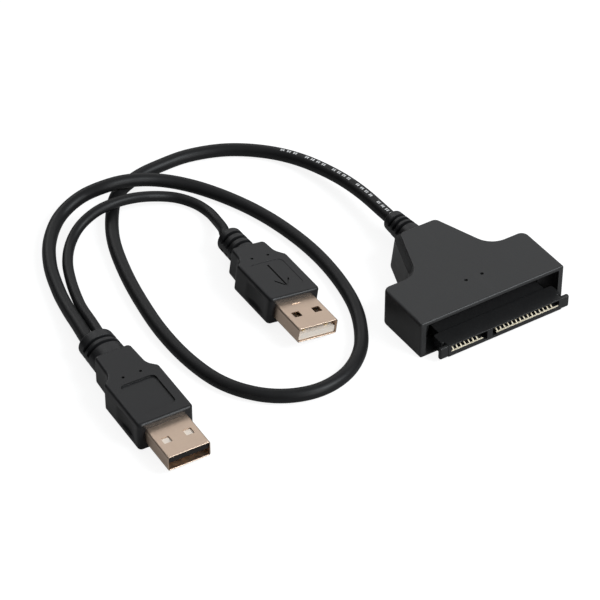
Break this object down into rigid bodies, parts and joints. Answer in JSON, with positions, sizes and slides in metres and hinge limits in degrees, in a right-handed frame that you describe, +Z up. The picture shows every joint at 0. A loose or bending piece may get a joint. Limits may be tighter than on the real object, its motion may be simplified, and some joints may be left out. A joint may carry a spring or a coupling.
{
  "type": "usb to sata adapter",
  "caption": "Adapter lead: a moulded drive connector head with a hooded receptacle, on a looped cord to a USB plug and a thinner cord to a second USB plug.",
  "frame": {"origin": "bottom centre of the connector head's box, on the surface that it lies on", "axes": "+Z up; +Y from the receptacle's mating face towards the head's cord; -Y is the way a drive plugs on; +X to the right as seen from behind the head"},
  "size_m": [0.1254, 0.1138, 0.0114],
  "materials": {
    "moulded_black": "satin, fine moulded grain",
    "receptacle_black": "satin",
    "contact_gold": "thin gold plating, polished",
    "shell_nickel": "nickel plated, satin, warm tint",
    "insulator_cream": "semi gloss",
    "board_green": "solder mask",
    "chip_black": "matt",
    "can_steel": "satin",
    "capacitor_tan": "matt",
    "cord_black": "satin"
  },
  "bodies": {
    "root": {"sata_housing": "moulded_black", "sata_receptacle": "receptacle_black", "signal_contact_1": "contact_gold", "signal_contact_2": "contact_gold", "signal_contact_3": "contact_gold", "signal_contact_4": "contact_gold", "signal_contact_5": "contact_gold", "signal_contact_6": "contact_gold", "signal_contact_7": "contact_gold", "power_contact_01": "contact_gold", "power_contact_02": "contact_gold", "power_contact_03": "contact_gold", "power_contact_04": "contact_gold", "power_contact_05": "contact_gold", "power_contact_06": "contact_gold", "power_contact_07": "contact_gold", "power_contact_08": "contact_gold", "power_contact_09": "contact_gold", "power_contact_10": "contact_gold", "power_contact_11": "contact_gold", "power_contact_12": "contact_gold", "power_contact_13": "contact_gold", "power_contact_14": "contact_gold", "power_contact_15": "contact_gold", "circuit_board": "board_green", "bridge_chip": "chip_black", "crystal": "can_steel", "input_capacitor": "capacitor_tan", "regulator": "chip_black", "output_capacitor": "capacitor_tan", "data_plug_grip": "moulded_black", "data_plug_shell": "shell_nickel", "data_plug_tongue": "insulator_cream", "data_plug_contact_1": "contact_gold", "data_plug_contact_2": "contact_gold", "data_plug_contact_3": "contact_gold", "data_plug_contact_4": "contact_gold", "power_plug_grip": "moulded_black", "power_plug_shell": "shell_nickel", "power_plug_tongue": "insulator_cream", "power_plug_contact_1": "contact_gold", "power_plug_contact_2": "contact_gold", "power_plug_contact_3": "contact_gold", "power_plug_contact_4": "contact_gold", "main_cord": "cord_black", "thin_cord": "cord_black"}
  },
  "joints": []
}
